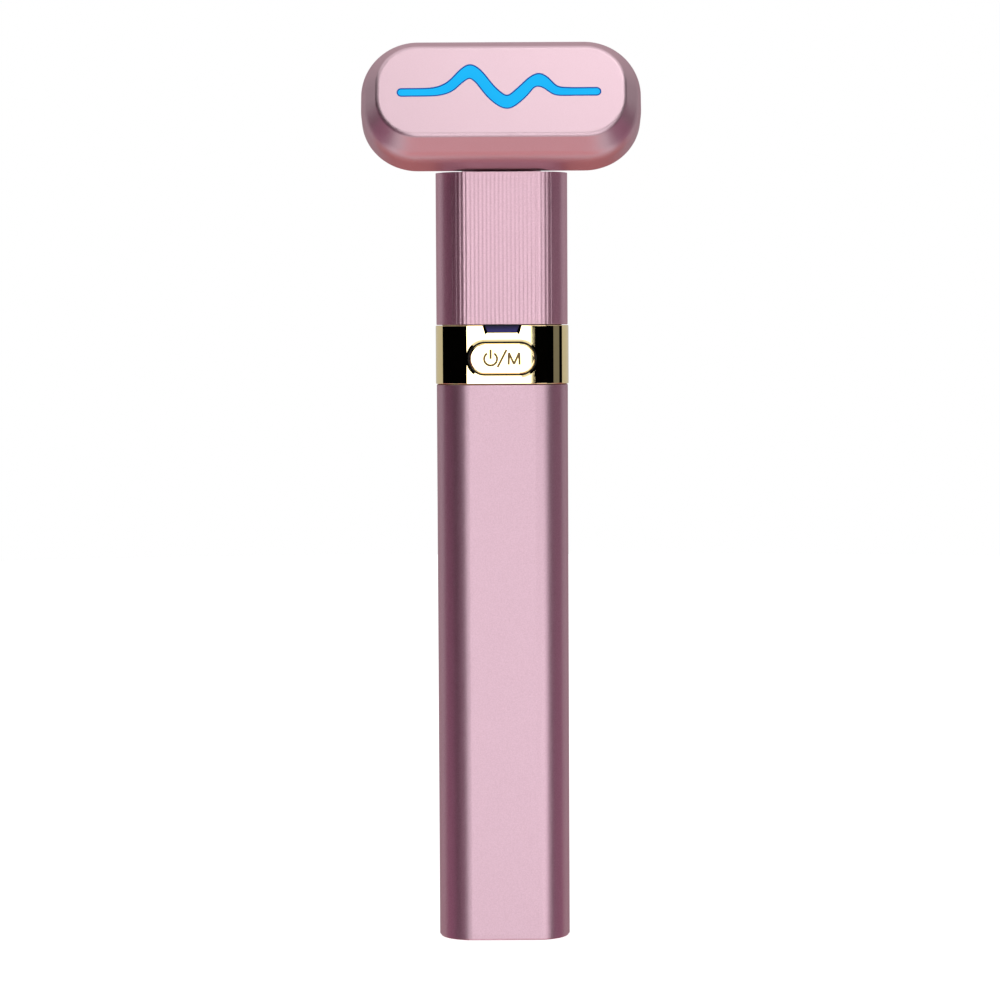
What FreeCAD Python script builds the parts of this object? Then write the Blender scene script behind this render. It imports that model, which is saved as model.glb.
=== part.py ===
import FreeCAD, Part
import math
import os
from types import SimpleNamespace
import Sketcher

# An eye massage wand: a rounded rectangular handle, a gold band with one button, a fluted
# neck and a tilted oblong head that swivels on the neck.
# Millimetres. Z runs up the handle, the front looks along -Y, and the origin is the middle
# of the foot of the handle.

V = FreeCAD.Vector
doc = FreeCAD.newDocument("eye_massage_wand")
sheet = doc.addObject("Spreadsheet::Sheet", "sizes")

SIZES = [
    # Handle, band and neck share one outer section
    ("body_width", 23.9), ("body_depth", 15.0), ("body_corner", 6.0), ("body_wall", 1.0),
    ("handle_length", 101.4), ("band_height", 10.6), ("neck_length", 27.55),
    ("band_proud", 0.15), ("seam_gap", 0.12), ("tube_edge", 0.15), ("fit_gap", 0.1), ("touch_gap", 0.05),
    ("overrun", 1.0),
    # End cap and charging socket
    ("cap_flange", 0.35), ("cap_inset", 0.2), ("cap_edge", 0.12), ("cap_plug", 5.0), ("cap_plug_wall", 1.5),
    ("socket_width", 8.94), ("socket_height", 3.2), ("socket_length", 7.4), ("socket_sheet", 0.3),
    ("socket_recess", 0.2), ("socket_floor", 1.0),
    ("tongue_width", 6.7), ("tongue_thickness", 0.7), ("tongue_recess", 0.9),
    ("charge_board_side", 0.35), ("charge_board_length", 16.0), ("charge_board_sheet", 1.0),
    ("charge_board_gap", 0.4), ("charge_lead", 1.0), ("charge_lead_gap", 0.6),
    # Inner frame: an open channel inside the tube
    ("frame_wall", 0.9), ("frame_lip", 1.75),
    # Battery
    ("cell_side", 1.75), ("cell_thickness", 6.6), ("cell_edge", 2.0), ("cell_clear", 6.8),
    ("pad_sheet", 1.0), ("pad_side", 0.45), ("pad_end", 4.0),
    ("cell_board_side", 2.2), ("cell_board_height", 3.0), ("cell_board_sheet", 1.2),
    ("lead_diameter", 1.2), ("lead_spacing", 6.0), ("lead_length", 7.0),
    # Main board and what it carries
    ("board_side", 0.95), ("board_length", 38.0), ("board_sheet", 1.0), ("part_gap", 0.8),
    ("board_front", 0.6), ("board_screw", 2.0), ("board_screw_head", 3.6), ("board_screw_head_height", 1.2),
    ("board_screw_drive", 1.2),
    ("board_screw_edge", 3.4), ("board_screw_inset", 2.6), ("post_diameter", 4.2),
    ("chip_width", 5.0), ("chip_height", 5.0), ("chip_sheet", 1.0),
    ("coil_diameter", 4.0), ("coil_height", 2.2),
    ("switch_width", 6.0), ("switch_depth", 2.6), ("plunger_diameter", 3.2), ("plunger_length", 1.7),
    ("plunger_bore_depth", 1.0), ("plunger_gap", 0.1), ("led_width", 2.8), ("led_depth", 1.2),
    # Button and indicator lens
    ("button_width", 11.86), ("button_height", 5.56), ("button_rise", 4.6), ("button_gap", 0.3),
    ("button_proud", 0.1), ("button_edge", 0.3), ("bezel", 0.38), ("bezel_depth", 0.2),
    ("button_lip", 0.55), ("button_lip_sheet", 0.8), ("button_lip_gap", 0.13),
    ("button_travel", 0.4), ("stem_width", 4.0), ("stem_gap", 0.1),
    ("lens_top_width", 6.2), ("lens_foot_width", 5.2), ("lens_height", 1.25), ("lens_gap", 0.08),
    ("lens_recess", 0.1),
    # Neck flutes and the swivel
    ("flute_pitch", 0.73), ("flute_count", 25), ("flute_width", 0.58), ("flute_depth", 0.03),
    ("plate_sheet", 4.0), ("pivot_diameter", 6.0), ("pivot_bore", 3.4), ("pivot_gap", 0.05),
    ("pivot_below", 3.4), ("pivot_above", 6.4), ("washer_diameter", 8.2), ("washer_sheet", 0.5),
    ("washer_recess", 0.4), ("spring_washer_diameter", 9.6), ("spring_washer_sheet", 0.6),
    ("clip_diameter", 9.0), ("clip_sheet", 0.8), ("clip_seat_diameter", 4.9), ("clip_mouth", 3.4),
    ("stop_circle", 10.6), ("stop_pin_diameter", 1.2), ("stop_pin_depth", 1.4), ("stop_pin_seat", 1.4),
    ("stop_gap", 0.12), ("swivel_range", 90.0), ("cable_diameter", 2.4), ("cable_above", 0.55),
    # Head
    ("head_width", 50.3), ("head_height", 23.1), ("head_end_flat", 2.7), ("head_side", 5.6),
    ("head_bevel_inset", 3.0), ("head_bevel_depth", 4.05), ("head_face_edge", 1.0),
    ("head_side_edge", 5.0), ("head_rim_edge", 0.5), ("head_dome", 6.0), ("head_dome_edge", 5.5),
    ("head_wall", 1.2), ("head_tilt", 20.0), ("head_forward", 5.2), ("head_clear", 0.15),
    ("collar_diameter", 14.4), ("collar_clear", 0.12), ("collar_height", 8.4),
    ("collar_edge", 5.2), ("boss_wall", 1.2),
    ("spigot_wall", 1.0), ("spigot_length", 3.8), ("seal_sheet", 0.6), ("seal_depth", 0.5),
    ("seal_setback", 1.2), ("wave_side", 4.05), ("wave_height_share", 0.162),
    ("wave_stroke_share", 0.062), ("wave_gap", 0.05), ("wave_recess", 0.05),
    ("guide_side", 1.0), ("guide_edge", 2.5), ("guide_rise", 0.8), ("guide_sheet", 0.8),
    ("film_inset", 0.5), ("film_sheet", 0.2), ("film_gap", 0.3),
    ("led_board_inset", 0.8), ("led_board_sheet", 1.0), ("head_led_width", 3.0), ("head_led_height", 2.6),
    ("head_led_depth", 1.2), ("head_led_pitch", 9.0), ("head_led_row", 5.0),
    ("motor_diameter", 6.0), ("motor_length", 11.0), ("motor_shaft", 1.0), ("motor_shaft_reach", 6.0),
    ("motor_top_gap", 1.1), ("motor_depth", 3.8), ("motor_left", 9.5), ("motor_shaft_gap", 0.05),
    ("motor_shaft_seat", 4.0), ("weight_diameter", 5.6), ("weight_length", 4.0), ("weight_gap", 0.6),
    ("cradle_wall", 1.0), ("cradle_length", 8.0), ("plug_width", 6.0), ("plug_height", 3.0),
    ("plug_depth", 3.6), ("plug_gap", 1.5),
]
for row, (alias, amount) in enumerate(SIZES, start=1):
    sheet.set(f"A{row}", alias)
    sheet.set(f"B{row}", str(amount))
    sheet.setAlias(f"B{row}", alias)
doc.recompute()


def num(alias):
    """The number that a named size holds."""
    return float(sheet.get(alias))


class Size:
    """A number together with the formula that ties it to the named sizes."""

    def __init__(self, value, text):
        self.value = value
        self.text = text

    def __add__(self, other):
        other = as_size(other)
        return Size(self.value + other.value, f"({self.text} + {other.text})")

    def __sub__(self, other):
        other = as_size(other)
        return Size(self.value - other.value, f"({self.text} - {other.text})")

    def __mul__(self, other):
        other = as_size(other)
        return Size(self.value * other.value, f"({self.text} * {other.text})")

    def __truediv__(self, other):
        other = as_size(other)
        return Size(self.value / other.value, f"({self.text} / {other.text})")

    def __rsub__(self, other):
        return as_size(other) - self

    def __rmul__(self, other):
        return as_size(other) * self

    def __neg__(self):
        return Size(-self.value, f"(-{self.text})")


def as_size(thing):
    """A plain count or share as a Size, so that both kinds go into one formula."""
    return thing if isinstance(thing, Size) else Size(float(thing), repr(float(thing)))


def sine(angle):
    return Size(math.sin(math.radians(angle.value)), f"sin({angle.text})")


def cosine(angle):
    return Size(math.cos(math.radians(angle.value)), f"cos({angle.text})")


def root(size):
    return Size(math.sqrt(size.value), f"sqrt({size.text})")


def larger(size, other):
    other = as_size(other)
    return Size(max(size.value, other.value), f"max({size.text}; {other.text})")


def arc_sine(ratio):
    return Size(math.degrees(math.asin(ratio.value)), f"(asin({ratio.text}) / 1 deg)")


s = SimpleNamespace(**{alias: Size(float(sheet.get(alias)), f"sizes.{alias}") for alias, amount in SIZES})
ZERO = as_size(0)
RIGHT_ANGLE = 90
HALF_TURN = 180
PIECES = []


def bind(thing, **formulas):
    """Tie properties of an object to the named sizes."""
    for name, size in formulas.items():
        thing.setExpression(name.replace("__", "."), as_size(size).text)
    return thing


def place(thing, x=ZERO, y=ZERO, z=ZERO):
    """Stand an object at a point."""
    thing.setExpression("Placement.Base.x", as_size(x).text)
    thing.setExpression("Placement.Base.y", as_size(y).text)
    thing.setExpression("Placement.Base.z", as_size(z).text)
    return thing


def piece(label, thing):
    """Give an object the name of its sub-part and keep it for writing."""
    thing.Label = label
    PIECES.append(thing)
    return thing


# Outlines, each drawn about the middle of its sketch


def sketch_on(body, plane, rise=ZERO, across=ZERO, up=ZERO):
    """A sketch on one of the body's own planes, moved off it by rise."""
    sketch = body.newObject("Sketcher::SketchObject", "outline")
    support = [feature for feature in body.Origin.OriginFeatures if feature.Role == plane][0]
    sketch.AttachmentSupport = [(support, "")]
    sketch.MapMode = "FlatFace"
    sketch.setExpression("AttachmentOffset.Base.x", as_size(across).text)
    sketch.setExpression("AttachmentOffset.Base.y", as_size(up).text)
    sketch.setExpression("AttachmentOffset.Base.z", as_size(rise).text)
    return sketch


def measure(sketch, size, *constraint):
    """Add one dimension to a sketch and tie it to its formula."""
    index = sketch.addConstraint(Sketcher.Constraint(*constraint, size.value))
    sketch.setExpression(f"Constraints[{index}]", size.text)


def join_ends(sketch, first, count):
    """Join a loop of lines and arcs end to start, each tangent to the next."""
    for step in range(count):
        following = first + (step + 1) % count
        sketch.addConstraint(Sketcher.Constraint("Tangent", first + step, 2, following, 1))


def round_rectangle(sketch, width, depth, corner):
    """A rectangle with four round corners: lines and arcs by turns, counter-clockwise."""
    flat_x = width.value / 2 - corner.value
    flat_y = depth.value / 2 - corner.value
    side_x = width.value / 2
    side_y = depth.value / 2
    quarter = math.pi / 2
    first = sketch.GeometryCount
    ends = [
        (V(-flat_x, -side_y), V(flat_x, -side_y), V(flat_x, -flat_y)),
        (V(side_x, -flat_y), V(side_x, flat_y), V(flat_x, flat_y)),
        (V(flat_x, side_y), V(-flat_x, side_y), V(-flat_x, flat_y)),
        (V(-side_x, flat_y), V(-side_x, -flat_y), V(-flat_x, -flat_y)),
    ]
    for turn, (start, end, middle) in enumerate(ends):
        sketch.addGeometry(Part.LineSegment(start, end))
        circle = Part.Circle(middle, V(0, 0, 1), corner.value)
        sketch.addGeometry(Part.ArcOfCircle(circle, (turn - 1) * quarter, turn * quarter))
    join_ends(sketch, first, 8)
    near, right, far, left = first, first + 2, first + 4, first + 6
    for line in (near, far):
        sketch.addConstraint(Sketcher.Constraint("Horizontal", line))
    for line in (left, right):
        sketch.addConstraint(Sketcher.Constraint("Vertical", line))
    for arc in (first + 3, first + 5, first + 7):
        sketch.addConstraint(Sketcher.Constraint("Equal", first + 1, arc))
    sketch.addConstraint(Sketcher.Constraint("Symmetric", near, 1, far, 1, -1, 1))
    measure(sketch, corner, "Radius", first + 1)
    measure(sketch, width, "DistanceX", left, 1, right, 1)
    measure(sketch, depth, "DistanceY", near, 1, far, 1)


def obround(sketch, width, height):
    """Two straight sides and two half-round ends."""
    radius = height / 2
    reach = width.value / 2 - radius.value
    first = sketch.GeometryCount
    quarter = math.pi / 2
    sketch.addGeometry(Part.LineSegment(V(-reach, -radius.value), V(reach, -radius.value)))
    right_circle = Part.Circle(V(reach, 0), V(0, 0, 1), radius.value)
    sketch.addGeometry(Part.ArcOfCircle(right_circle, -quarter, quarter))
    sketch.addGeometry(Part.LineSegment(V(reach, radius.value), V(-reach, radius.value)))
    left_circle = Part.Circle(V(-reach, 0), V(0, 0, 1), radius.value)
    sketch.addGeometry(Part.ArcOfCircle(left_circle, quarter, 3 * quarter))
    join_ends(sketch, first, 4)
    right, left = first + 1, first + 3
    sketch.addConstraint(Sketcher.Constraint("Horizontal", first))
    sketch.addConstraint(Sketcher.Constraint("Equal", right, left))
    sketch.addConstraint(Sketcher.Constraint("Symmetric", right, 3, left, 3, -1, 1))
    measure(sketch, radius, "Radius", right)
    measure(sketch, width - height, "DistanceX", left, 3, right, 3)


def ring(sketch, *diameters):
    """Circles about one middle."""
    for diameter in diameters:
        index = sketch.addGeometry(Part.Circle(V(0, 0), V(0, 0, 1), diameter.value / 2))
        sketch.addConstraint(Sketcher.Constraint("Coincident", index, 3, -1, 1))
        measure(sketch, diameter / 2, "Radius", index)


# Solids


def new_body(name):
    return doc.addObject("PartDesign::Body", name)


def pad(body, sketch, length, backwards=False):
    """Add material from a sketch along its normal, or against it."""
    feature = body.newObject("PartDesign::Pad", "pad")
    feature.Profile = sketch
    feature.Reversed = backwards
    bind(feature, Length=length)
    doc.recompute()
    return feature


def pocket(body, sketch, depth, backwards=False):
    """Cut along a sketch, and make sure that the cut took something away."""
    before = body.Shape.Volume
    feature = body.newObject("PartDesign::Pocket", "pocket")
    feature.Profile = sketch
    feature.Reversed = backwards
    bind(feature, Length=depth)
    doc.recompute()
    if body.Shape.Volume >= before:
        raise RuntimeError(f"a pocket in {body.Label} cut nothing")
    return feature


def round_edges(body, radius, wanted):
    """Fillet those edges of the body's last feature for which wanted(bounds) is true."""
    base = body.Tip
    names = [f"Edge{index}" for index, edge in enumerate(base.Shape.Edges, start=1) if wanted(edge.BoundBox)]
    feature = body.newObject("PartDesign::Fillet", "rounding")
    feature.Base = (base, names)
    bind(feature, Radius=radius)
    doc.recompute()
    return feature


def flat_at(axis, level):
    """A test for edges that lie in the plane where one coordinate is level."""
    tolerance = num("touch_gap") / 10

    def test(bounds):
        low = getattr(bounds, axis + "Min")
        high = getattr(bounds, axis + "Max")
        return abs(low - level.value) < tolerance and abs(high - level.value) < tolerance

    return test


def box(x, y, z):
    """A block between two limits along each axis."""
    block = doc.addObject("Part::Box", "block")
    bind(block, Length=x[1] - x[0], Width=y[1] - y[0], Height=z[1] - z[0])
    return place(block, x[0], y[0], z[0])


def rod(diameter, start, end, x=ZERO, y=ZERO, axis="Z", sweep=None):
    """A round bar between two limits along an axis; x and y are its other two coordinates."""
    bar = doc.addObject("Part::Cylinder", "bar")
    bind(bar, Radius=diameter / 2, Height=end - start)
    if sweep is not None:
        bind(bar, Angle=sweep)
    if axis == "X":
        bar.Placement = FreeCAD.Placement(V(), FreeCAD.Rotation(V(0, 1, 0), RIGHT_ANGLE))
        return place(bar, start, x, y)
    if axis == "Y":
        bar.Placement = FreeCAD.Placement(V(), FreeCAD.Rotation(V(1, 0, 0), -RIGHT_ANGLE))
        return place(bar, x, start, y)
    return place(bar, x, y, start)


def cut(base, *tools):
    """Take one or more objects away from another."""
    for tool in tools:
        result = doc.addObject("Part::Cut", "cut")
        result.Base = base
        result.Tool = tool
        base = result
    return base


def fuse(*parts):
    """Several objects as one."""
    result = doc.addObject("Part::MultiFuse", "group")
    result.Shapes = list(parts)
    return result


def solid(shape):
    """An object for a shape that neither features nor primitives give."""
    thing = doc.addObject("Part::Feature", "shape")
    thing.Shape = shape
    return thing


# Levels and depths that several pieces share

band_foot = s.handle_length
band_top = band_foot + s.band_height
neck_top = band_top + s.neck_length
front = -s.body_depth / 2
frame_inset = s.body_wall + s.fit_gap
frame_inner = frame_inset + s.frame_wall
frame_back = s.body_depth / 2 - frame_inner
frame_low = s.cap_flange + s.cap_plug + s.touch_gap
inside_width = s.body_width - 2 * frame_inner
board_back = s.board_sheet - s.board_front
button_level = band_foot + s.button_rise
# Up the main board: screws, controller chip, charge coil, switch
chip_foot_rise = s.board_screw_inset + s.board_screw_head / 2 + s.part_gap
coil_rise = chip_foot_rise + s.chip_height + s.part_gap + s.coil_diameter / 2
switch_rise = coil_rise + s.coil_diameter / 2 + s.part_gap + s.switch_width / 2
board_foot = button_level - switch_rise
board_width = inside_width - 2 * s.board_side
board_top = board_foot + s.board_length
plate_foot = neck_top - s.plate_sheet


def section(sketch, inset):
    """The outline of handle and neck, drawn in by inset all round."""
    round_rectangle(sketch, s.body_width - 2 * inset, s.body_depth - 2 * inset, s.body_corner - inset)


def sleeve(name, foot, top, outer, inner=None):
    """A length of the common section, hollow if it has an inner inset too."""
    body = new_body(name)
    sketch = sketch_on(body, "XY_Plane", foot)
    section(sketch, outer)
    if inner is not None:
        section(sketch, inner)
    pad(body, sketch, top - foot)
    return body


# Handle and end cap


def make_handle_tube():
    top = s.handle_length - s.seam_gap
    tube = sleeve("handle_shell", s.cap_flange, top, ZERO, s.body_wall)
    round_edges(tube, s.tube_edge, flat_at("Z", top))
    return tube


def make_end_cap():
    """A flange that closes the tube, a plug that fits in it and the opening for the socket."""
    body = sleeve("cap", ZERO, s.cap_flange, s.cap_inset)
    round_edges(body, s.cap_edge, flat_at("Z", ZERO))
    plug = sketch_on(body, "XY_Plane", s.cap_flange)
    section(plug, frame_inset)
    section(plug, frame_inset + s.cap_plug_wall)
    pad(body, plug, s.cap_plug)
    opening = sketch_on(body, "XY_Plane")
    obround(opening, s.socket_width + 2 * s.fit_gap, s.socket_height + 2 * s.fit_gap)
    pocket(body, opening, s.cap_flange, backwards=True)
    return body


def make_usb_socket():
    """A sheet metal shell, open below, with a moulded floor at its inner end."""
    body = new_body("socket_shell")
    outer = sketch_on(body, "XY_Plane", s.socket_recess)
    obround(outer, s.socket_width, s.socket_height)
    pad(body, outer, s.socket_length)
    inner = sketch_on(body, "XY_Plane", s.socket_recess)
    obround(inner, s.socket_width - 2 * s.socket_sheet, s.socket_height - 2 * s.socket_sheet)
    pocket(body, inner, s.socket_length - s.socket_floor, backwards=True)
    return body


def make_usb_tongue():
    half_width = s.tongue_width / 2
    half_sheet = s.tongue_thickness / 2
    foot = s.socket_recess + s.tongue_recess
    top = s.socket_recess + s.socket_length - s.socket_floor
    return box((-half_width, half_width), (-half_sheet, half_sheet), (foot, top))


charge_board_face = s.socket_height / 2
charge_board_foot = s.cap_flange + s.charge_board_gap
charge_board_top = charge_board_foot + s.charge_board_length


def make_charge_board():
    half_width = s.body_width / 2 - frame_inset - s.cap_plug_wall - s.charge_board_side
    depth = (charge_board_face, charge_board_face + s.charge_board_sheet)
    return box((-half_width, half_width), depth, (charge_board_foot, charge_board_top))


def make_charge_leads():
    """Two leads that run beside the cell from the charge board to the main board."""
    foot = (charge_board_top + s.touch_gap).value
    top = (board_foot - s.touch_gap).value
    foot_depth = (charge_board_face + s.charge_board_sheet / 2).value
    top_depth = (board_back - s.board_sheet / 2).value
    leads = []
    for side in (-1, 1):
        x = side * (inside_width / 2 - s.charge_lead_gap - s.charge_lead / 2).value
        run = V(0, top_depth - foot_depth, top - foot)
        leads.append(Part.makeCylinder(s.charge_lead.value / 2, run.Length, V(x, foot_depth, foot), run))
    return solid(Part.makeCompound(leads))


# Inner frame, battery and main board

cell_top = board_foot - s.lead_length - s.cell_board_height
cell_foot = charge_board_top + s.cell_clear
cell_length = cell_top - cell_foot
cell_width = inside_width - 2 * s.cell_side
cell_middle = frame_back - s.pad_sheet - s.cell_thickness / 2
pad_length = cell_length - 2 * s.pad_end


def board_screw_places():
    """Both sides of the main board, near its foot and near its top."""
    across = board_width / 2 - s.board_screw_edge
    low = board_foot + s.board_screw_inset
    high = board_foot + s.board_length - s.board_screw_inset
    return [(x, z) for x in (-across, across) for z in (low, high)]


def make_inner_frame():
    """A channel with an open front; its posts carry the main board."""
    channel = sleeve("channel", frame_low, plate_foot, frame_inset, frame_inner)
    half_slot = inside_width / 2 - s.frame_lip
    slot = box((-half_slot, half_slot), (front, ZERO), (frame_low - s.overrun, plate_foot + s.overrun))
    posts = []
    holes = []
    for x, z in board_screw_places():
        posts.append(rod(s.post_diameter, board_back, frame_back + s.frame_wall / 3, x, z, "Y"))
        holes.append(rod(s.board_screw + 2 * s.touch_gap, board_back, frame_back, x, z, "Y"))
    return cut(fuse(cut(channel, slot), *posts), *holes)


def make_battery_pad():
    half_width = s.body_width / 2 - s.body_corner - s.pad_side
    middle = cell_foot + cell_length / 2
    height = (middle - pad_length / 2, middle + pad_length / 2)
    return box((-half_width, half_width), (frame_back - s.pad_sheet, frame_back), height)


def make_battery_cell():
    body = new_body("pouch")
    sketch = sketch_on(body, "XY_Plane", cell_foot, up=cell_middle)
    round_rectangle(sketch, cell_width, s.cell_thickness, s.cell_edge)
    pad(body, sketch, cell_length)
    return body


def make_battery_board():
    half_width = cell_width / 2 - s.cell_board_side
    middle = board_back - s.board_sheet / 2
    half_sheet = s.cell_board_sheet / 2
    depth = (middle - half_sheet, middle + half_sheet)
    return box((-half_width, half_width), depth, (cell_top, cell_top + s.cell_board_height))


def make_battery_leads():
    foot = cell_top + s.cell_board_height
    depth = board_back - s.board_sheet / 2
    half = s.lead_spacing / 2
    return fuse(*[rod(s.lead_diameter, foot, board_foot, x, depth) for x in (-half, half)])


def make_main_board():
    half_width = board_width / 2
    board = box(
        (-half_width, half_width),
        (board_back - s.board_sheet, board_back),
        (board_foot, board_foot + s.board_length),
    )
    hole = s.board_screw + 2 * s.touch_gap
    depth = (board_back - s.board_sheet - s.overrun, board_back + s.overrun)
    return cut(board, *[rod(hole, *depth, x, z, "Y") for x, z in board_screw_places()])


def make_board_screws():
    """Pan head screws through the main board into the posts of the inner frame."""
    screws = []
    face = -s.board_front
    for x, z in board_screw_places():
        head = rod(s.board_screw_head, face - s.board_screw_head_height, face, x, z, "Y")
        thread = rod(s.board_screw, face - s.board_screw_head_height, frame_back, x, z, "Y")
        drive = rod(s.board_screw_drive, face - s.board_screw_head_height - s.overrun,
                    face - s.board_screw_head_height / 2, x, z, "Y")
        screws.append(cut(fuse(head, thread), drive))
    return fuse(*screws)


def make_board_components():
    """A controller chip and a charge coil below the switch, and a driver chip above it."""
    face = -s.board_front
    half = s.chip_width / 2
    low = board_foot + chip_foot_rise
    chip_depth = (face - s.chip_sheet, face)
    low_chip = box((-half, half), chip_depth, (low, low + s.chip_height))
    high = band_top + s.part_gap
    high_chip = box((-half, half), chip_depth, (high, high + s.chip_height))
    coil = rod(s.coil_diameter, face - s.coil_height, face, ZERO, board_foot + coil_rise, "Y")
    return fuse(low_chip, high_chip, coil)


# Switch, button, band and indicator

switch_face = -s.board_front - s.switch_depth
plunger_back = switch_face + s.plunger_bore_depth - s.button_travel - s.plunger_gap
plunger_front = plunger_back - s.plunger_length
button_face = front - s.band_proud - s.button_proud
# The lip's ends reach into the round of the band's inner wall
lip_past_flat = larger(s.button_width / 2 + s.button_lip + s.body_corner - s.body_width / 2, ZERO)
inner_corner = s.body_corner - s.body_wall
inner_round = inner_corner - root(inner_corner * inner_corner - lip_past_flat * lip_past_flat)
lip_front = front + s.body_wall + inner_round + s.button_lip_gap
lip_back = lip_front + s.button_lip_sheet


def make_switch_body():
    half = s.switch_width / 2
    body = box((-half, half), (switch_face, -s.board_front), (button_level - half, button_level + half))
    bore_end = switch_face + s.plunger_bore_depth
    bore = s.plunger_diameter + 2 * s.plunger_gap
    return cut(body, rod(bore, switch_face - s.overrun, bore_end, ZERO, button_level, "Y"))


def make_switch_plunger():
    return rod(s.plunger_diameter, plunger_front, plunger_back, ZERO, button_level, "Y")


def make_power_button():
    """An obround cap with a rounded rim."""
    body = new_body("cap_button")
    foot = lip_front - s.touch_gap
    face = sketch_on(body, "XZ_Plane", -foot, up=button_level)
    obround(face, s.button_width, s.button_height)
    pad(body, face, foot - button_face)
    round_edges(body, s.button_edge, flat_at("Y", button_face))
    return body


def make_button_carrier():
    """The part that carries the cap: a lip that keeps it in the band and a stem behind."""
    body = new_body("carrier")
    lip = sketch_on(body, "XZ_Plane", -lip_back, up=button_level)
    obround(lip, s.button_width + 2 * s.button_lip, s.button_height + 2 * s.button_lip)
    pad(body, lip, s.button_lip_sheet)
    stem = sketch_on(body, "XZ_Plane", -lip_back, up=button_level)
    ring(stem, s.stem_width)
    pad(body, stem, plunger_front - s.stem_gap - lip_back, backwards=True)
    return body


def lens_outline(gap):
    """The indicator's outline in the band: wide above, narrow below, gap larger all round."""
    top = band_top.value
    foot = top - s.lens_height.value - gap
    wide = s.lens_top_width.value / 2 + gap
    narrow = s.lens_foot_width.value / 2 + gap
    corners = [V(-wide, 0, top), V(-narrow, 0, foot), V(narrow, 0, foot), V(wide, 0, top)]
    return Part.Face(Part.makePolygon(corners + corners[:1]))


def lens_prism(gap, near, far):
    """The indicator's outline carried from one depth to another."""
    face = lens_outline(gap)
    face.translate(V(0, near.value, 0))
    return face.extrude(V(0, (far - near).value, 0))


def lens_bezel(gap, near):
    """A funnel that opens the indicator's outline towards the band's face."""
    reach = (s.bezel + s.overrun * s.bezel / s.bezel_depth).value
    mouth = lens_outline(gap + reach).OuterWire
    mouth.translate(V(0, near.value - s.overrun.value, 0))
    throat = lens_outline(gap).OuterWire
    throat.translate(V(0, near.value + s.bezel_depth.value, 0))
    return Part.makeLoft([mouth, throat], True, True)


def make_gold_band():
    band = sleeve("band_ring", band_foot, band_top, -s.band_proud, s.body_wall)
    round_edges(band, s.tube_edge, flat_at("Z", band_foot))
    round_edges(band, s.tube_edge, flat_at("Z", band_top))
    face = front - s.band_proud
    opening = new_body("button_opening")
    outline = sketch_on(opening, "XZ_Plane", up=button_level)
    obround(outline, s.button_width + 2 * s.button_gap, s.button_height + 2 * s.button_gap)
    pad(opening, outline, s.body_depth)
    throat = sketch_on(opening, "XZ_Plane", -face - s.bezel_depth, up=button_level)
    obround(throat, s.button_width + 2 * s.button_gap, s.button_height + 2 * s.button_gap)
    mouth = sketch_on(opening, "XZ_Plane", -face + s.overrun, up=button_level)
    reach = s.button_gap + s.bezel + s.overrun * s.bezel / s.bezel_depth
    obround(mouth, s.button_width + 2 * reach, s.button_height + 2 * reach)
    funnel = opening.newObject("PartDesign::AdditiveLoft", "bezel_funnel")
    funnel.Profile = throat
    funnel.Sections = [mouth]
    funnel.Ruled = True
    notch = solid(lens_prism(s.lens_gap.value, front - s.overrun, front + s.body_wall + s.fit_gap))
    notch_bezel = solid(lens_bezel(s.lens_gap.value, face))
    return cut(band, opening, notch, notch_bezel)


def make_indicator_lens():
    """A smoked lens in the notch with a light pipe back to the LED."""
    near = front - s.band_proud + s.lens_recess
    window = solid(lens_prism(0, near, front + s.body_wall))
    half = s.led_width / 2
    pipe = box((-half, half), (front + s.body_wall, -s.board_front - s.led_depth - s.fit_gap),
               (band_top - s.lens_height, band_top))
    return fuse(window, pipe)


def make_indicator_led():
    half = s.led_width / 2
    depth = (-s.board_front - s.led_depth, -s.board_front)
    return box((-half, half), depth, (band_top - half, band_top))


# Neck and swivel


def neck_surface(x):
    """The point of the neck's front face at a given place across, and the direction out of it there."""
    flat = s.body_width.value / 2 - s.body_corner.value
    past = math.copysign(max(abs(x) - flat, 0), x)
    corner = s.body_corner.value
    rise = math.sqrt(corner ** 2 - past ** 2)
    return V(x, corner - s.body_depth.value / 2 - rise, 0), V(past, -rise, 0) / corner


def make_neck_sleeve():
    """A sleeve with fine shallow flutes on its front and back."""
    foot = band_top + s.seam_gap
    shell = sleeve("neck_shell", foot, neck_top, ZERO, s.body_wall)
    round_edges(shell, s.tube_edge, flat_at("Z", foot))
    half = s.flute_width / 2
    radius = (half * half / (2 * s.flute_depth) + s.flute_depth / 2).value
    height = (neck_top - foot + 2 * s.overrun).value
    count = int(s.flute_count.value)
    grooves = []
    for index in range(count):
        point, outward = neck_surface((index - (count - 1) / 2) * s.flute_pitch.value)
        axis = point + outward * (radius - s.flute_depth.value)
        axis.z = (foot - s.overrun).value
        grooves.append(Part.makeCylinder(radius, height, axis))
        grooves.append(Part.makeCylinder(radius, height, V(axis.x, -axis.y, axis.z)))
    return cut(shell, solid(Part.makeCompound(grooves)))


stop_radius = s.stop_circle / 2
stop_half_width = s.stop_pin_diameter / 2 + s.stop_gap
collar_foot = neck_top + s.collar_clear
spring_foot = plate_foot - s.spring_washer_sheet
clip_top = spring_foot - s.touch_gap
clip_foot = clip_top - s.clip_sheet
tube_foot = plate_foot - s.pivot_below
tube_top = neck_top + s.pivot_above


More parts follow.
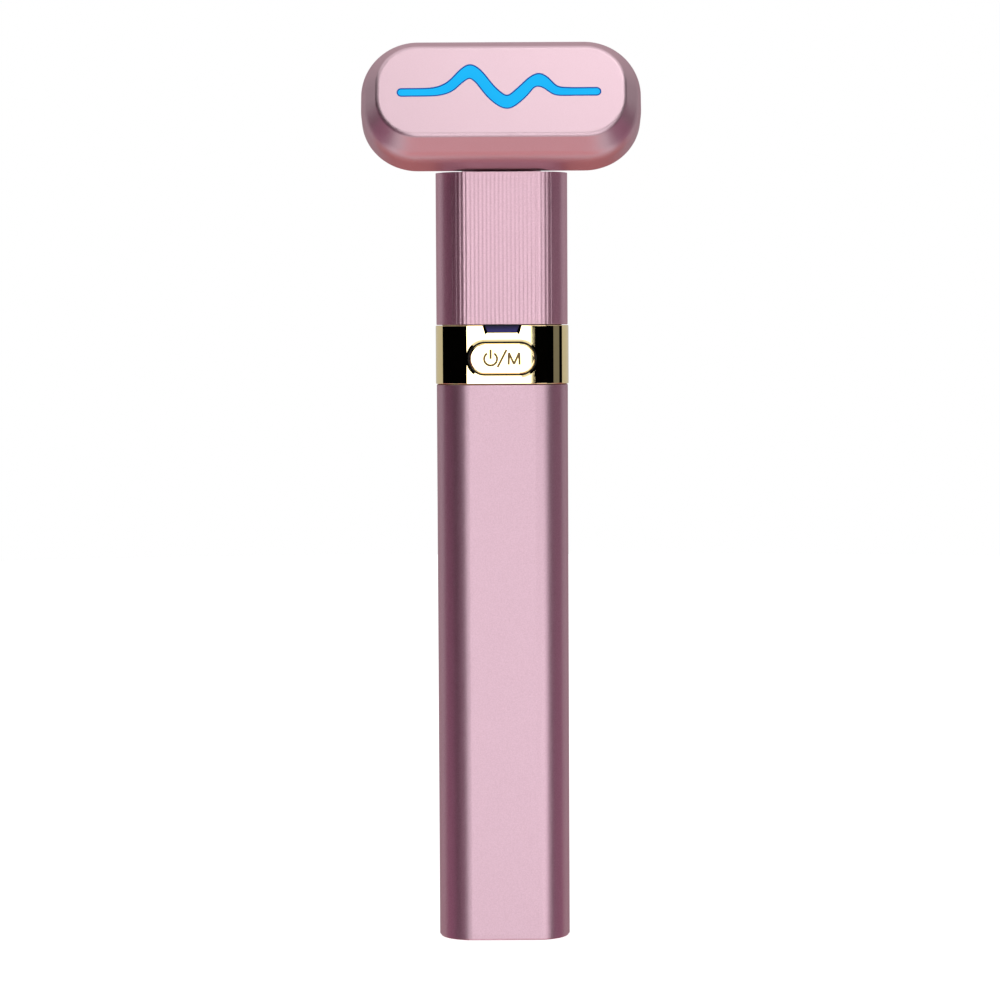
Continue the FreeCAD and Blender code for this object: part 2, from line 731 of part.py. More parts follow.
def make_neck_top_plate():
    """The plate that the head turns on: a bore, a washer seat and a curved slot for the stop pin."""
    plate = sleeve("plate", plate_foot, neck_top, frame_inset)
    bore = rod(s.pivot_diameter + 2 * s.pivot_gap, plate_foot - s.overrun, neck_top + s.overrun)
    seat = rod(s.washer_diameter + 2 * s.fit_gap, neck_top - s.washer_recess, neck_top + s.overrun)
    slot_foot = neck_top - s.stop_pin_depth - s.fit_gap
    slot_top = neck_top + s.overrun
    margin = arc_sine(stop_half_width / stop_radius)
    sweep = 2 * s.swivel_range + 2 * margin
    outer = rod(2 * (stop_radius + stop_half_width), slot_foot, slot_top, sweep=sweep)
    outer.Placement = FreeCAD.Placement(V(), FreeCAD.Rotation(V(0, 0, 1), 0))
    outer.setExpression("Placement.Rotation.Angle", (RIGHT_ANGLE - s.swivel_range - margin).text)
    inner = rod(2 * (stop_radius - stop_half_width), slot_foot - s.overrun, slot_top + s.overrun)
    return cut(plate, bore, seat, cut(outer, inner))


def washer(outer, inner, foot, top):
    return cut(rod(outer, foot, top), rod(inner, foot - s.overrun, top + s.overrun))


def make_swivel_washer():
    foot = neck_top - s.washer_recess
    return washer(s.washer_diameter, s.pivot_diameter + 2 * s.fit_gap, foot, foot + s.washer_sheet)


def make_spring_washer():
    return washer(s.spring_washer_diameter, s.pivot_diameter + 2 * s.fit_gap, spring_foot, plate_foot)


def make_swivel_tube():
    """The hollow pivot, fast in the head's collar, with a groove for the clip."""
    tube = washer(s.pivot_diameter, s.pivot_bore, tube_foot, tube_top)
    groove = washer(s.pivot_diameter + 2 * s.overrun, s.clip_seat_diameter,
                    clip_foot - s.touch_gap, clip_top + s.touch_gap)
    return cut(tube, groove)


def make_retaining_clip():
    half_mouth = s.clip_mouth / 2
    bore = s.clip_seat_diameter + 2 * s.touch_gap
    height = (clip_foot - s.overrun, clip_top + s.overrun)
    mouth = box((-half_mouth, half_mouth), (-s.clip_diameter, ZERO), height)
    return cut(washer(s.clip_diameter, bore, clip_foot, clip_top), mouth)


def make_stop_pin():
    foot = neck_top - s.stop_pin_depth
    return rod(s.stop_pin_diameter, foot, collar_foot + s.stop_pin_seat, ZERO, stop_radius)


def make_head_cable():
    """The bundle that runs from the main board up through the pivot into the head."""
    top = leaned(plug_back, plug_foot)[1] + s.cable_above
    return rod(s.cable_diameter, board_top, top)


# Head: its pieces are made upright about their own middle, then leaned back together.
# In an upright piece, ahead is the distance in front of the head's middle plane.

side = s.head_side / 2
face_ahead = side + s.head_bevel_depth
inner_face_ahead = face_ahead - s.head_wall
inner_bevel_inset = s.head_bevel_inset * (s.head_bevel_depth - s.head_wall) / s.head_bevel_depth
film_edge = s.head_wall + inner_bevel_inset + s.film_inset
guide_width = s.head_width - 2 * (film_edge + s.guide_side)
guide_height = s.head_height - 2 * (film_edge + s.guide_edge)
wave_width = s.head_width - 2 * (s.head_bevel_inset + s.wave_side)
wave_height = wave_width * s.wave_height_share
wave_stroke = wave_width * s.wave_stroke_share
dome_behind = side + s.head_dome
spigot_inset = s.head_wall + s.fit_gap
cavity_inset = spigot_inset + s.spigot_wall
spigot_ahead = s.spigot_length - side
board_ahead = spigot_ahead + s.led_board_sheet
cradle_reach = s.motor_diameter / 2 + s.cradle_wall
motor_rise = s.head_height / 2 - cavity_inset - s.motor_top_gap - cradle_reach
plug_top = motor_rise - cradle_reach - s.plug_gap
plug_foot = plug_top - s.plug_height
plug_back = s.plug_depth - spigot_ahead
head_depth = -s.head_forward


def drop_of(behind, low, edge):
    """How far below the head's middle a rounded lower edge reaches once the head leans back."""
    return (behind - edge) * sine(s.head_tilt) + (low - edge) * cosine(s.head_tilt) + edge


rim_drop = drop_of(side, s.head_height / 2, s.head_rim_edge)
dome_drop = drop_of(dome_behind, s.head_height / 2 - spigot_inset, s.head_dome_edge)
head_level = neck_top + s.head_clear + larger(rim_drop, dome_drop)


def lean(thing, depth=head_depth, level=head_level):
    """Lean an upright piece of the head back and lift it to its place."""
    thing.Placement = FreeCAD.Placement(V(), FreeCAD.Rotation(V(1, 0, 0), -RIGHT_ANGLE))
    thing.setExpression("Placement.Rotation.Angle", (-s.head_tilt).text)
    return place(thing, ZERO, depth, level)


def leaned(y, z):
    """Depth and level of a point of the upright head once the head leans back."""
    depth = head_depth + y * cosine(s.head_tilt) + z * sine(s.head_tilt)
    level = head_level - y * sine(s.head_tilt) + z * cosine(s.head_tilt)
    return depth, level


def head_outline(body, ahead, inset):
    """The head's outline on its own plane, drawn in by inset all round."""
    sketch = sketch_on(body, "XZ_Plane", ahead)
    corner = (s.head_height - s.head_end_flat) / 2
    round_rectangle(sketch, s.head_width - 2 * inset, s.head_height - 2 * inset, corner - inset)
    return sketch


def head_slab(name, inset, low, high):
    """A slab of the head's outline between two distances ahead."""
    body = new_body(name)
    pad(body, head_outline(body, low, inset), high - low)
    return body


def plate(name, width, height, low, high, rise=ZERO):
    """An obround plate of its own size between two distances ahead."""
    body = new_body(name)
    sketch = sketch_on(body, "XZ_Plane", low, up=rise)
    obround(sketch, width, height)
    pad(body, sketch, high - low)
    return body


def front_form(name, inset, back, tip, bevel_inset):
    """Upright side wall and the bevel that narrows to the face."""
    body = head_slab(name, inset, back, side)
    bevel = body.newObject("PartDesign::AdditiveLoft", "bevel")
    bevel.Profile = head_outline(body, side, inset)
    bevel.Sections = [head_outline(body, tip, inset + bevel_inset)]
    bevel.Ruled = True
    doc.recompute()
    return body


# The light window's middle line, left to right: across and up as shares of the wave's
# width and height, and the half stroke there as a share of the full stroke
WAVE_SHARES = [
    (-0.490, -0.052, 0.345), (-0.450, -0.052, 0.345), (-0.410, -0.051, 0.345), (-0.370, -0.048, 0.35),
    (-0.331, -0.034, 0.37), (-0.253, 0.130, 0.44), (-0.187, 0.512, 0.50),
    (-0.153, 0.627, 0.61), (-0.118, 0.503, 0.53), (-0.076, 0.180, 0.50), (-0.019, -0.222, 0.53),
    (0.031, -0.375, 0.58), (0.080, -0.195, 0.52), (0.121, 0.063, 0.49), (0.158, 0.278, 0.50),
    (0.184, 0.342, 0.57), (0.220, 0.243, 0.48), (0.269, 0.000, 0.40), (0.318, -0.043, 0.36),
    (0.360, -0.047, 0.345), (0.400, -0.046, 0.345), (0.435, -0.045, 0.345), (0.470, -0.045, 0.345),
]


def wave_prism(gap, low, high):
    """The wave with smooth edges and round ends, gap narrower or wider, between two distances ahead."""
    middle = []
    reach = []
    for across, up, stroke in WAVE_SHARES:
        middle.append(V(across * wave_width.value, 0, up * wave_height.value))
        reach.append(stroke * wave_stroke.value + gap)
    above = []
    below = []
    for index, point in enumerate(middle):
        before = middle[max(index - 1, 0)]
        after = middle[min(index + 1, len(middle) - 1)]
        along = (after - before).normalize()
        normal = V(-along.z, 0, along.x)
        above.append(point + normal * reach[index])
        below.append(point - normal * reach[index])
    edges = []
    for points in (above, below):
        curve = Part.BSplineCurve()
        curve.interpolate(points)
        edges.append(curve.toShape())
    left_tip = middle[0] - V(reach[0], 0, 0)
    right_tip = middle[-1] + V(reach[-1], 0, 0)
    edges.append(Part.Arc(above[0], left_tip, below[0]).toShape())
    edges.append(Part.Arc(above[-1], right_tip, below[-1]).toShape())
    face = Part.Face(Part.Wire(Part.__sortEdges__(edges)))
    face.translate(V(0, -low.value, 0))
    return face.extrude(V(0, (low - high).value, 0))


def make_head_front_cover():
    """The bevelled shell with its flat face and the opening for the light window."""
    outer = front_form("front_outside", ZERO, -side, face_ahead, s.head_bevel_inset)
    round_edges(outer, s.head_rim_edge, flat_at("Y", side))
    round_edges(outer, s.head_side_edge, flat_at("Y", -side))
    round_edges(outer, s.head_face_edge, flat_at("Y", -face_ahead))
    inner = front_form("front_inside", s.head_wall, -side - s.overrun, inner_face_ahead, inner_bevel_inset)
    opening = solid(wave_prism(0, inner_face_ahead - s.overrun, face_ahead + s.overrun))
    return lean(cut(outer, inner, opening))


def make_light_window():
    gap = -s.wave_gap.value
    return lean(solid(wave_prism(gap, inner_face_ahead, face_ahead - s.wave_recess)))


def make_light_guide():
    high = inner_face_ahead - s.touch_gap
    return lean(plate("guide", guide_width, guide_height, high - s.guide_sheet, high, s.guide_rise))


def make_heating_film():
    """A thin film on the back of the face, open where the light guide sits."""
    high = inner_face_ahead - s.touch_gap
    film = head_slab("film", film_edge, high - s.film_sheet, high)
    opening = plate("film_opening", guide_width + 2 * s.film_gap, guide_height + 2 * s.film_gap,
                    high - s.film_sheet - s.overrun, high + s.overrun, s.guide_rise)
    return lean(cut(film, opening))


def make_led_board():
    return lean(head_slab("led_panel", s.head_wall + s.led_board_inset, spigot_ahead, board_ahead))


def make_head_leds():
    """Two rows of LEDs on the front of their board."""
    half_width = s.head_led_width / 2
    half_height = s.head_led_height / 2
    lamps = []
    for column in (-1.5, -0.5, 0.5, 1.5):
        for row in (-0.5, 0.5):
            x = column * s.head_led_pitch
            z = row * s.head_led_row + s.guide_rise
            depth = (-board_ahead - s.head_led_depth, -board_ahead)
            lamps.append(box((x - half_width, x + half_width), depth, (z - half_height, z + half_height)))
    return lean(fuse(*lamps))


def make_board_connector():
    """The socket on the back of the LED board that the head cable reaches."""
    half_width = s.plug_width / 2
    block = box((-half_width, half_width), (-spigot_ahead, plug_back), (plug_foot, plug_top))
    return lean(block, *leaned(-spigot_ahead, plug_foot))


seal_ahead = s.seal_setback - side


def make_head_seal():
    """A ring in the groove of the back cover's spigot, against the front cover's wall."""
    inner = spigot_inset + s.seal_depth - s.touch_gap
    high = seal_ahead + s.seal_sheet
    outer_slab = head_slab("seal_outside", s.head_wall + s.touch_gap, seal_ahead, high)
    inner_slab = head_slab("seal_inside", inner, seal_ahead - s.overrun, high + s.overrun)
    return lean(cut(outer_slab, inner_slab))


def make_head_back_cover():
    """The domed plug in the front cover, the round collar that turns on the neck and the pivot boss."""
    dome = head_slab("dome", spigot_inset, -dome_behind, spigot_ahead)
    round_edges(dome, s.head_dome_edge, flat_at("Y", dome_behind))
    collar = new_body("collar")
    collar_sketch = sketch_on(collar, "XY_Plane", collar_foot)
    ring(collar_sketch, s.collar_diameter)
    pad(collar, collar_sketch, s.collar_height)
    round_edges(collar, s.collar_edge, flat_at("Z", collar_foot + s.collar_height))
    boss = rod(s.pivot_diameter + 2 * s.boss_wall, collar_foot, tube_top)
    ahead = lean(plate("trim", 4 * s.head_width, 2 * s.head_width, -side - s.touch_gap, s.head_width))
    cavity = head_slab("cavity", cavity_inset, -dome_behind + s.head_wall, spigot_ahead + s.overrun)
    round_edges(cavity, s.head_dome_edge - s.head_wall, flat_at("Y", dome_behind - s.head_wall))
    shell = cut(fuse(lean(dome), cut(collar, ahead)), lean(cavity))
    shell = fuse(shell, cut(boss, ahead))
    bore = rod(s.pivot_diameter + 2 * s.touch_gap, neck_top - s.overrun, tube_top + s.overrun)
    pin_hole_top = collar_foot + s.stop_pin_seat + s.touch_gap
    pin_hole = rod(s.stop_pin_diameter + 2 * s.touch_gap, neck_top, pin_hole_top, ZERO, stop_radius)
    groove_ahead = seal_ahead + s.seal_sheet + s.touch_gap
    groove_outer = head_slab("groove_outside", ZERO, seal_ahead - s.touch_gap, groove_ahead)
    groove_inner = head_slab("groove_inside", spigot_inset + s.seal_depth, -side - s.overrun, side)
    return cut(shell, bore, pin_hole, lean(cut(groove_outer, groove_inner)))


# Vibration motor, lying across the head behind the LED board

motor_right = s.motor_length - s.motor_left


def make_motor_body():
    body = rod(s.motor_diameter, -s.motor_left, motor_right, s.motor_depth, motor_rise, "X")
    bore = s.motor_shaft + 2 * s.motor_shaft_gap
    return lean(cut(body, rod(bore, motor_right - s.motor_shaft_seat, motor_right + s.overrun,
                              s.motor_depth, motor_rise, "X")))


def make_motor_shaft():
    start = motor_right - s.motor_shaft_seat + s.motor_shaft_gap
    depth, level = leaned(s.motor_depth, motor_rise)
    return rod(s.motor_shaft, start, motor_right + s.motor_shaft_reach, depth, level, "X")


def make_eccentric_weight():
    """A half-round weight on the motor's shaft."""
    start = motor_right + s.weight_gap
    end = start + s.weight_length
    lobe = rod(s.weight_diameter, start, end, s.motor_depth, motor_rise, "X", as_size(HALF_TURN))
    hub = rod(2 * s.motor_shaft, start, end, s.motor_depth, motor_rise, "X")
    bore = rod(s.motor_shaft + 2 * s.touch_gap, start - s.overrun, end + s.overrun,
               s.motor_depth, motor_rise, "X")
    return lean(cut(fuse(lobe, hub), bore))


def make_motor_cradle():
    """A rubber block on the back of the LED board that holds the motor."""
    middle = motor_right - s.motor_length / 2
    half = s.cradle_length / 2
    block = box((middle - half, middle + half), (-spigot_ahead, s.motor_depth),
                (motor_rise - cradle_reach, motor_rise + cradle_reach))
    bed = rod(s.motor_diameter + 2 * s.touch_gap, middle - s.cradle_length, middle + s.cradle_length,
              s.motor_depth, motor_rise, "X")
    return lean(cut(block, bed))


MAKERS = [
    make_handle_tube, make_end_cap, make_usb_socket, make_usb_tongue, make_charge_board,
    make_charge_leads, make_inner_frame, make_battery_pad, make_battery_cell, make_battery_board,
    make_battery_leads, make_main_board, make_board_screws, make_board_components, make_switch_body,
    make_switch_plunger, make_power_button, make_button_carrier, make_gold_band, make_indicator_lens,
    make_indicator_led, make_neck_sleeve, make_neck_top_plate, make_swivel_washer, make_spring_washer,
    make_swivel_tube, make_retaining_clip, make_stop_pin, make_head_cable, make_head_front_cover,
    make_light_window, make_light_guide, make_heating_film, make_led_board, make_head_leds,
    make_board_connector, make_head_seal, make_head_back_cover, make_motor_body, make_motor_shaft,
    make_eccentric_weight, make_motor_cradle,
]
for make in MAKERS:
    piece(make.__name__.removeprefix("make_"), make())
doc.recompute()

for thing in doc.Objects:
    if {"Invalid", "Error"} & set(thing.State):
        raise RuntimeError(f"{thing.Label} failed: {thing.State}")
for thing in PIECES:
    if thing.Shape.isNull() or not thing.Shape.isValid() or not thing.Shape.Solids:
        raise RuntimeError(f"{thing.Label} has no valid solid")

os.makedirs("parts", exist_ok=True)
for thing in PIECES:
    thing.Shape.exportStep(f"parts/{thing.Label}.step")
    print(f"{thing.Label}: {len(thing.Shape.Solids)} solids, {thing.Shape.Volume:.1f} cubic mm")
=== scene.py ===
# %% [markdown]
# # An eye massage wand in a small photo studio
# The wand is a slim rose aluminium handle with a mirror gold band, a fluted neck and a flat, tilted
# head that carries a blue light window. The CAD model already holds these shapes, so this lesson is
# about what Blender adds: the camera, the studio, the finishes, the fine marks on the button and
# the painted shade line round the light window.
# First the imported model is loaded as a fixed frame. Its box is kept, to show at the end that
# nothing grew.

# %% Load the imported wand
import math

import bmesh
import bpy
from mathutils import Matrix, Vector


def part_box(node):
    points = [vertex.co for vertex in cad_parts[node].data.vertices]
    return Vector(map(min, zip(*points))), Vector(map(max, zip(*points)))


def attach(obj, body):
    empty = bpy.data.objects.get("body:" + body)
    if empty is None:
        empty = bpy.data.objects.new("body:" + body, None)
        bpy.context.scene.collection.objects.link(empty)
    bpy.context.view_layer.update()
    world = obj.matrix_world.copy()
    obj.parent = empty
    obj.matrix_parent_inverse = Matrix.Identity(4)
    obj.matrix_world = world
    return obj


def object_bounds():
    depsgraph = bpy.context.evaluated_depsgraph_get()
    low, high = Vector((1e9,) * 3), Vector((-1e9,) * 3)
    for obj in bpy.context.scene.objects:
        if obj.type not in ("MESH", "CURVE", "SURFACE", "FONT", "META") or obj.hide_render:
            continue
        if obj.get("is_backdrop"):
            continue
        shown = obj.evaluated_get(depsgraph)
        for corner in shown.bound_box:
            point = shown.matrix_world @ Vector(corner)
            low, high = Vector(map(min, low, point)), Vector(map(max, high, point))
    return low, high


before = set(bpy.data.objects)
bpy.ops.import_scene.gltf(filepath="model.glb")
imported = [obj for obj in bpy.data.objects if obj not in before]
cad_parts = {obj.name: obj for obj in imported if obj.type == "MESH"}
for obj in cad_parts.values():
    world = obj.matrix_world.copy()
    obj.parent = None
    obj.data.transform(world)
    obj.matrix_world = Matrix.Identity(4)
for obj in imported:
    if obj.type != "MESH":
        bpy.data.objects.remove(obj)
cad_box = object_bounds()
MM = 0.001
wand_size = [(high - low) / MM for low, high in zip(*cad_box)]
print("wand, mm:", [round(length, 1) for length in wand_size])

# %% [markdown]
# ## The camera
# The picture was taken with a long lens from straight in front, a little above the middle, looking
# slightly down. Its distance and lens were fitted to the wand's known sizes: the handle's edges, the
# band's two seams, the foot and the head. A free "track to" would be easier, but it can't hold the
# small roll of the picture, so the three axes of the camera are written out as a matrix.

# %% Camera
AIM = Vector((-0.53, 0.0, 80.03)) * MM
CAMERA_DISTANCE = 540 * MM
LOOK_DOWN = math.radians(3.4)
ROLL = math.radians(-0.28)
SENSOR = 36.0
LENS_PER_FRAME = 2.946
NEAREST_SEEN = 10 * MM

ahead = Vector((0, math.cos(LOOK_DOWN), -math.sin(LOOK_DOWN)))
level_right = Vector((1, 0, 0))
level_up = level_right.cross(ahead)
right = level_right * math.cos(ROLL) + level_up * math.sin(ROLL)
up = right.cross(ahead)

camera_data = bpy.data.cameras.new("studio_camera")
camera_data.sensor_width = SENSOR
camera_data.lens = LENS_PER_FRAME * SENSOR
camera_data.clip_start = NEAREST_SEEN
camera = bpy.data.objects.new("studio_camera", camera_data)
bpy.context.scene.collection.objects.link(camera)
axes = Matrix((right, up, -ahead)).transposed().to_4x4()
camera.matrix_world = Matrix.Translation(AIM - ahead * CAMERA_DISTANCE) @ axes
bpy.context.scene.camera = camera
bpy.context.scene.view_settings.view_transform = "Standard"
print("lens, mm:", round(camera_data.lens, 1))

# %% [markdown]
# ## Colours and nodes
# A hex colour is what the eye sees on a screen, while Blender's shaders count light, so one function
# turns the one into the other. A second small function adds any node, with its settings, its socket
# values and the links into it. A third starts a material and sets what is the same all over it.
# Every finish and every studio surface below is built with these three.

# %% Colour and node helpers
# The mix node has sockets for several kinds of value, and its colours are found at these places.
MIX_A, MIX_B, MIX_OUT = 6, 7, 2


def linear(hex_colour):
    """An sRGB hex colour as the linear RGBA that a shader counts with."""
    shares = [int(hex_colour[place:place + 2], 16) / 255 for place in (1, 3, 5)]
    light = [share / 12.92 if share <= 0.04045 else ((share + 0.055) / 1.055) ** 2.4
             for share in shares]
    return (*light, 1.0)


def add_node(tree, kind, sockets=None, links=None, **settings):
    """Add a node, set its settings and sockets, and join the outputs in links to its inputs."""
    node = tree.nodes.new(kind)
    for name, value in settings.items():
        setattr(node, name, value)
    for socket, value in (sockets or {}).items():
        node.inputs[socket].default_value = value
    for socket, output in (links or {}).items():
        tree.links.new(output, node.inputs[socket])
    return node


def start_finish(name, sockets):
    """A new material, its node tree, and its main shader with the given sockets set."""
    material = bpy.data.materials.new(name)
    material.use_nodes = True
    shader = material.node_tree.nodes["Principled BSDF"]
    for socket, value in sockets.items():
        shader.inputs[socket].default_value = value
    return material, material.node_tree, shader


print("white as light:", linear("#ffffff")[:3])

# %% [markdown]
# ## The white surround
# The background of the picture is plain white. A white world does that, but it would also flood the
# wand with light from all sides. So the world is white only for rays that come from the camera, a
# mirror or a glass, and dimmer as a lamp.

# %% White world
AMBIENT = 0.55


def seen_rays(tree):
    """One where a ray comes from the camera, a mirror or a glass, and zero for lamp light."""
    path = add_node(tree, "ShaderNodeLightPath")
    direct = add_node(tree, "ShaderNodeMath", operation="MAXIMUM",
                      links={0: path.outputs["Is Camera Ray"], 1: path.outputs["Is Glossy Ray"]})
    either = add_node(tree, "ShaderNodeMath", operation="MAXIMUM",
                      links={0: direct.outputs[0], 1: path.outputs["Is Transmission Ray"]})
    return either.outputs[0]


world = bpy.data.worlds.new("white_studio")
bpy.context.scene.world = world
world.use_nodes = True
tree = world.node_tree
background = tree.nodes["Background"]
background.inputs["Color"].default_value = linear("#ffffff")
strength = add_node(tree, "ShaderNodeMapRange", sockets={"To Min": AMBIENT, "To Max": 1.0},
                    links={"Value": seen_rays(tree)})
tree.links.new(strength.outputs[0], background.inputs["Strength"])
print("the world's strength as a lamp:", AMBIENT)

# %% [markdown]
# ## The table top
# The floor is a round pale table top, a hair below the foot. The eye gets it with a share of white on
# top of the light that falls on it, so it melts into the background and the wand keeps a soft shadow.
# The satin foot shows no table in the picture, so the table is hidden from reflections.

# %% Table top
TABLE_RADIUS = 900 * MM
TABLE_SIDES = 96
TABLE_LEVEL = cad_box[0][2] - 0.02 * MM
TABLE_LIFT = 0.9

mesh = bpy.data.meshes.new("table_top")
bm = bmesh.new()
bmesh.ops.create_circle(bm, cap_ends=True, segments=TABLE_SIDES, radius=TABLE_RADIUS)
bm.to_mesh(mesh)
bm.free()
table_top = bpy.data.objects.new("table_top", mesh)
bpy.context.scene.collection.objects.link(table_top)
table_top.location.z = TABLE_LEVEL
table_top.visible_glossy = False
table_top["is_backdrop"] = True

# Matt laminate: pale and even, with no gloss of its own.
laminate, tree, shader = start_finish("matt_white_laminate", {
    "Base Color": linear("#c8c8c8"), "Roughness": 0.7, "Specular IOR Level": 0.0,
    "Emission Color": linear("#ffffff")})
lift = add_node(tree, "ShaderNodeMath", operation="MULTIPLY", sockets={1: TABLE_LIFT},
                links={0: seen_rays(tree)})
tree.links.new(lift.outputs[0], shader.inputs["Emission Strength"])
mesh.materials.append(laminate)
print("table top, mm across:", 2 * TABLE_RADIUS / MM)

# %% [markdown]
# ## Screens round the wand
# A mirror shows what stands around it. The gold band is white across its flat front, black round its
# corners and gold again at its edges, which tells how the studio was set: a narrow lit card behind
# the camera, tall black screens on both sides of it, and pale paper behind the wand. Flat boards
# would do, but curved screens keep those edges at the same angle all the way up. They are hidden from
# the camera only, so that they still work in reflections from any side.

# %% Curved screens
SCREEN_RADIUS = 900 * MM
SCREEN_FOOT = -600 * MM
SCREEN_TOP = 900 * MM
DEGREES_PER_PANEL = 3
FEWEST_PANELS = 4


def curved_screen(name, span, material, foot=SCREEN_FOOT, top=SCREEN_TOP, radius=SCREEN_RADIUS):
    """A screen that stands round the wand, over a span in degrees right of the camera."""
    start, end = span
    panels = max(FEWEST_PANELS, round((end - start) / DEGREES_PER_PANEL))
    mesh = bpy.data.meshes.new(name)
    bm = bmesh.new()
    posts = []
    for post in range(panels + 1):
        turn = math.radians(start + (end - start) * post / panels)
        side, front = radius * math.sin(turn), -radius * math.cos(turn)
        posts.append([bm.verts.new((side, front, level)) for level in (foot, top)])
    for (low, high), (next_low, next_high) in zip(posts, posts[1:]):
        bm.faces.new((low, next_low, next_high, high))
    bm.to_mesh(mesh)
    bm.free()
    mesh.materials.append(material)
    screen = bpy.data.objects.new(name, mesh)
    bpy.context.scene.collection.objects.link(screen)
    screen.visible_camera = False
    screen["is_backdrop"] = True


print("screens stand at, mm:", round(SCREEN_RADIUS / MM))

# %% [markdown]
# ## Velvet, felt and paper
# Three stuffs hang on those screens. Velvet gives the black of the band's corners, a strip of grey
# felt gives the dim olive line at its right corner, and the paper behind gives its edges a paler
# gold. A lamp behind a diffuser would light the felt and the paper in a studio; here a weak glow of
# their own does the same with less noise.

# %% Screens of velvet, felt and paper
PAPER_FOOT = -1200 * MM

# Black velvet: deep pile that swallows light, so a mirror shows plain black there.
velvet, *_ = start_finish("black_velvet", {
    "Base Color": linear("#050505"), "Roughness": 1.0, "Specular IOR Level": 0.0})

# Grey felt: a dim strip between two velvets.
grey_felt, *_ = start_finish("grey_felt", {
    "Base Color": linear("#202020"), "Roughness": 1.0,
    "Emission Color": linear("#ffffff"), "Emission Strength": 0.18})

# Grey paper: the edges that look back at it stay softer than against the white surround.
grey_paper, *_ = start_finish("grey_backdrop_paper", {
    "Base Color": linear("#808080"), "Roughness": 1.0,
    "Emission Color": linear("#ffffff"), "Emission Strength": 0.48})

# name: span in degrees right of the camera, material, foot
SCREENS = {
    "screen_left": ((-104, -9.6), velvet, SCREEN_FOOT),
    "screen_right": ((0.95, 66), velvet, SCREEN_FOOT),
    "screen_right_strip": ((66, 91), grey_felt, SCREEN_FOOT),
    "screen_right_end": ((91, 106), velvet, SCREEN_FOOT),
    "screen_behind": ((106, 256), grey_paper, PAPER_FOOT),
}
for name, (span, material, foot) in SCREENS.items():
    curved_screen(name, span, material, foot=foot)
print("screens:", len(SCREENS))

# %% [markdown]
# ## Plum felt below and above
# The satin tubes are never quite black at their corners: some dim, warm light reaches them that the
# mirror of the band doesn't show. So plum felt hangs in front of the velvet, below and above the
# level that the band looks at. A rough surface gathers light from a wide cone and takes it in; the
# band sees only the velvet gap.

# %% Felt skirts
FELT_RADIUS = 860 * MM
FELT_TOP = 300 * MM
BAND_VIEW = (35 * MM, 175 * MM)
# Spans in degrees right of the camera. The gaps between them are what the bevel round the button
# mirrors.
FELT_SPANS = {
    "left_end": (-104, -59), "left": (-42, -24), "right": (34, 42), "right_end": (59, 106)}

# Plum felt: wool pressed into a soft sheet, dim and even.
plum_felt, *_ = start_finish("plum_felt", {
    "Base Color": linear("#3c2030"), "Roughness": 1.0, "Specular IOR Level": 0.0,
    "Emission Color": linear("#d08fb0"), "Emission Strength": 0.5})
for side, span in FELT_SPANS.items():
    curved_screen("felt_low_" + side, span, plum_felt, top=BAND_VIEW[0], radius=FELT_RADIUS)
    curved_screen("felt_high_" + side, span, plum_felt, foot=BAND_VIEW[1], top=FELT_TOP,
                  radius=FELT_RADIUS)
print("felt skirts leave, mm:", [round(level / MM) for level in BAND_VIEW])

# %% [markdown]
# ## Rose cloth below
# The head's lower bevel looks down in front of the wand and its lower wall looks down behind it, and
# both are warmer and redder than the face. Redder metal there would be wrong from other sides, so
# rose cloth hangs below instead, bright in front and dim behind, too low for the handle and the band
# to see much of it.

# %% Cloth
CLOTH_RADIUS = 850 * MM
# Woven cotton: matt, so its colour is the same from everywhere.
# name: span in degrees right of the camera, foot and top in mm, colour of its glow, strength
CLOTHS = {
    "rose_cotton_in_light": ((-75, 75), -6000, -1185, "#ff9e9a", 0.74),
    "rose_cotton_in_shade": ((106, 254), -4000, -260, "#ffc6bc", 0.38),
}
for name, (span, foot, top, hue, glow) in CLOTHS.items():
    cotton, *_ = start_finish(name, {
        "Base Color": linear("#a06868"), "Roughness": 1.0,
        "Emission Color": linear(hue), "Emission Strength": glow})
    curved_screen(name, span, cotton, foot=foot * MM, top=top * MM, radius=CLOTH_RADIUS)
print("cloths:", len(CLOTHS))

# %% [markdown]
# ## The lit cards
# Soft light on a satin tube is one broad, even card. The front card stands behind the camera and
# fills the flat fronts; the card above lights the tilted face, more from the right, so the face
# brightens that way. Two strips on the right, one below the band's reflection and one above it,
# light the satin tubes only. An area lamp is a card that glows, and its power grows with its area.

# %% Glowing cards
CARD_AIM = Vector((0, 0, 105)) * MM
# name: degrees right of the camera and above the level; distance, width and height in m; strength
CARDS = {
    "card_front": (-4.0, 2, 1.5, 0.36, 1.6, 2.48),
    "card_above": (21, 48, 1.2, 0.72, 0.55, 2.0),
    "strip_low": (24, -15, 0.8, 0.46, 0.34, 2.2),
    "strip_high": (22, 14, 0.8, 0.46, 0.2, 2.2),
}
for name, (azimuth, elevation, distance, width, height, glow) in CARDS.items():
    turn, rise = math.radians(azimuth), math.radians(elevation)
    outward = Vector((math.sin(turn) * math.cos(rise), -math.cos(turn) * math.cos(rise),
                      math.sin(rise)))
    lamp_data = bpy.data.lights.new(name, "AREA")
    lamp_data.shape = "RECTANGLE"
    lamp_data.size = width
    lamp_data.size_y = height
    lamp_data.energy = glow * math.pi * width * height
    lamp = bpy.data.objects.new(name, lamp_data)
    bpy.context.scene.collection.objects.link(lamp)
    lamp.location = CARD_AIM + outward * distance
    lamp.rotation_euler = (-outward).to_track_quat("-Z", "Y").to_euler()
print("lit cards:", len(CARDS))

